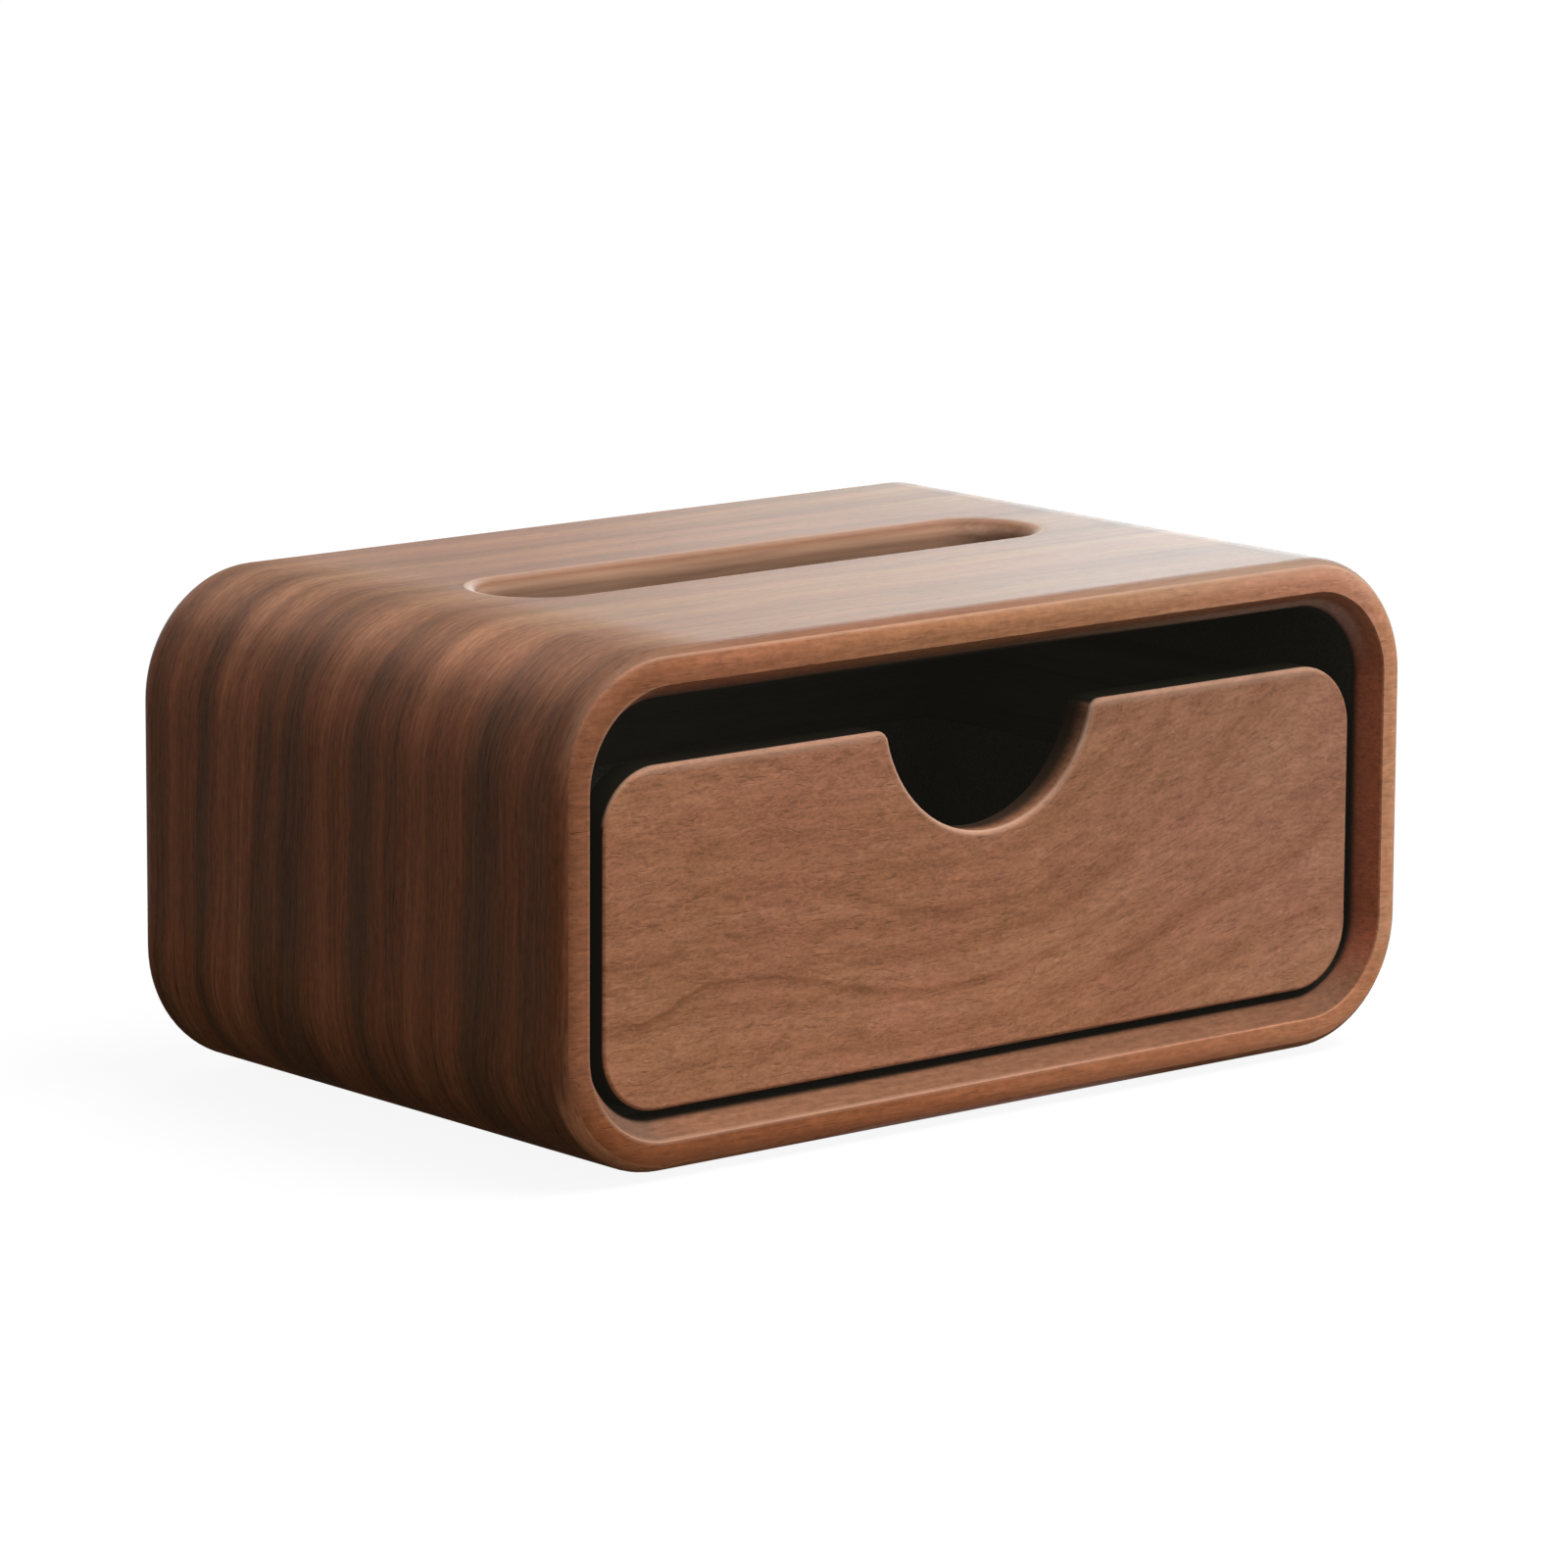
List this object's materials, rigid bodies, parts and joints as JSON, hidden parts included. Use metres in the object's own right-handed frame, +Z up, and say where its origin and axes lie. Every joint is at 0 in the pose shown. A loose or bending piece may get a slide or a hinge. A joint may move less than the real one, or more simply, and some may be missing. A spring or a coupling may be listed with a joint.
{
  "type": "tissue box with drawer",
  "caption": "Low walnut tissue box with round corners, a long dispensing slot in its top, and a black-lined pull-out drawer whose recessed front has a scooped finger notch.",
  "frame": {"origin": "middle of the footprint, on the plane that the four foot pads stand on", "axes": "+Z up; +X to the right of a person who faces the drawer front; -Y is the front, the way the drawer pulls out"},
  "size_m": [0.24, 0.148, 0.1115],
  "materials": {
    "walnut_veneer": "satin lacquer",
    "walnut_rim": "satin lacquer",
    "walnut_lipping": "satin lacquer",
    "walnut_front": "satin lacquer",
    "walnut_back": "satin lacquer",
    "shell_core": "bare laminated birch",
    "black_wood": "matte black stain",
    "dowel_beech": "bare beech",
    "black_felt": "black felt",
    "foot_rubber": "matte black rubber"
  },
  "bodies": {
    "case": {"upper_shell": "shell_core", "lower_shell": "shell_core", "seam_spline_left": "shell_core", "seam_spline_right": "shell_core", "outer_veneer": "walnut_veneer", "front_rim": "walnut_rim", "rear_rim": "walnut_rim", "slot_lipping": "walnut_lipping", "back_panel": "walnut_back", "case_lining": "black_felt", "back_lining": "black_felt", "runner_left": "black_wood", "runner_right": "black_wood", "guide_rail_left": "black_wood", "guide_rail_right": "black_wood", "rear_buffers": "black_felt", "foot_pads": "foot_rubber"},
    "drawer": {"drawer_front": "walnut_front", "tray_side_left": "black_wood", "tray_side_right": "black_wood", "tray_back": "black_wood", "tray_bottom": "black_wood", "front_dowels": "dowel_beech", "rear_dowels": "dowel_beech", "tray_base_felt": "black_felt", "tray_wall_felt": "black_felt"}
  },
  "joints": [
    {"name": "drawer_slide", "type": "slide", "parent": "case", "child": "drawer", "axis": [0, -1, 0], "range_m": [0, 0.1]}
  ]
}
